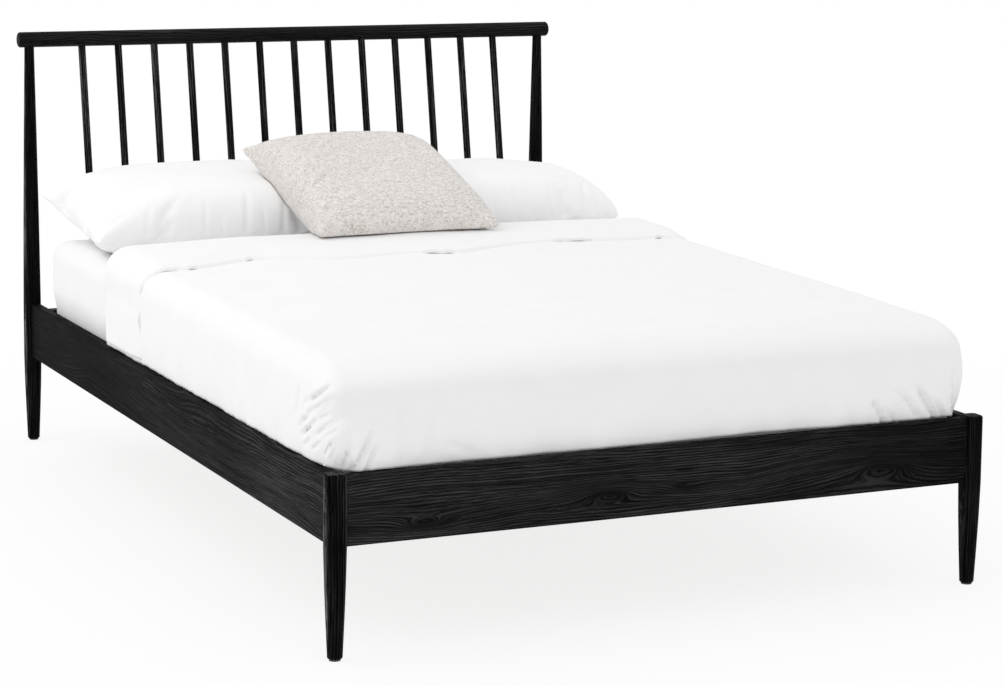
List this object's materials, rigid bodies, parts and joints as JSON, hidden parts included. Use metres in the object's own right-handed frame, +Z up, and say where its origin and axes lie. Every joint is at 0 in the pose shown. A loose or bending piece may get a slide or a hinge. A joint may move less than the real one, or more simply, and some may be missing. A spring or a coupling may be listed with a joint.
{
  "type": "spindle bed",
  "caption": "Double bed frame with tapered legs, a round top rail on tall posts, raked turned spindles and a slatted base, made up with a mattress, duvet, pillows and a cushion.",
  "frame": {"origin": "On the floor, under the middle of the bed.", "axes": "+Z is up, +Y runs along the bed to the headboard, and +X is to the right as seen from the foot of the bed."},
  "size_m": [1.445, 2.1112, 1.024],
  "materials": {
    "black_ash": "black stain on open-grained ash, satin lacquer",
    "plain_wood": "plain sanded pine",
    "zinc_steel": "zinc-plated",
    "felt": "dense felt",
    "sheet": "white cotton sheet",
    "duvet_cover": "white cotton, fine plain weave",
    "pillow_case": "white cotton, fine plain weave",
    "cushion_cover": "oatmeal coloured woven cloth"
  },
  "bodies": {
    "frame": {"barrel_nuts": "zinc_steel", "bracket_screws": "zinc_steel", "centre_beam": "plain_wood", "centre_leg": "plain_wood", "centre_leg_stud": "zinc_steel", "foot_beam_hanger": "zinc_steel", "foot_pads": "felt", "foot_rail": "black_ash", "hanger_bolts": "zinc_steel", "head_beam_hanger": "zinc_steel", "head_bolts": "zinc_steel", "head_rail": "black_ash", "hex_nuts": "zinc_steel", "ledger_screws": "zinc_steel", "left_corner_bracket": "zinc_steel", "left_foot_leg": "black_ash", "left_head_angle": "zinc_steel", "left_head_post": "black_ash", "left_side_rail": "black_ash", "left_slat_ledger": "plain_wood", "right_corner_bracket": "zinc_steel", "right_foot_leg": "black_ash", "right_head_angle": "zinc_steel", "right_head_post": "black_ash", "right_side_rail": "black_ash", "right_slat_ledger": "plain_wood", "slat_01": "plain_wood", "slat_02": "plain_wood", "slat_03": "plain_wood", "slat_04": "plain_wood", "slat_05": "plain_wood", "slat_06": "plain_wood", "slat_07": "plain_wood", "slat_08": "plain_wood", "slat_09": "plain_wood", "slat_10": "plain_wood", "slat_11": "plain_wood", "slat_12": "plain_wood", "spindle_01": "black_ash", "spindle_02": "black_ash", "spindle_03": "black_ash", "spindle_04": "black_ash", "spindle_05": "black_ash", "spindle_06": "black_ash", "spindle_07": "black_ash", "spindle_08": "black_ash", "spindle_09": "black_ash", "spindle_10": "black_ash", "spindle_11": "black_ash", "spindle_12": "black_ash", "spindle_13": "black_ash", "top_rail": "black_ash"},
    "mattress": {"mattress": "sheet"},
    "duvet": {"duvet": "duvet_cover"},
    "right_pillow": {"right_pillow": "pillow_case"},
    "left_pillow": {"left_pillow": "pillow_case"},
    "cushion": {"cushion": "cushion_cover"}
  },
  "joints": [
    {"name": "mattress_lift", "type": "slide", "parent": "frame", "child": "mattress", "axis": [0, 0, 1], "range_m": [0, 0.12]},
    {"name": "duvet_lift", "type": "slide", "parent": "mattress", "child": "duvet", "axis": [0, 0, 1], "range_m": [0, 0.2]},
    {"name": "right_pillow_lift", "type": "slide", "parent": "duvet", "child": "right_pillow", "axis": [0, 0, 1], "range_m": [0, 0.2]},
    {"name": "left_pillow_lift", "type": "slide", "parent": "right_pillow", "child": "left_pillow", "axis": [0, 0, 1], "range_m": [0, 0.2]},
    {"name": "cushion_lift", "type": "slide", "parent": "left_pillow", "child": "cushion", "axis": [0, 0, 1], "range_m": [0, 0.2]}
  ]
}
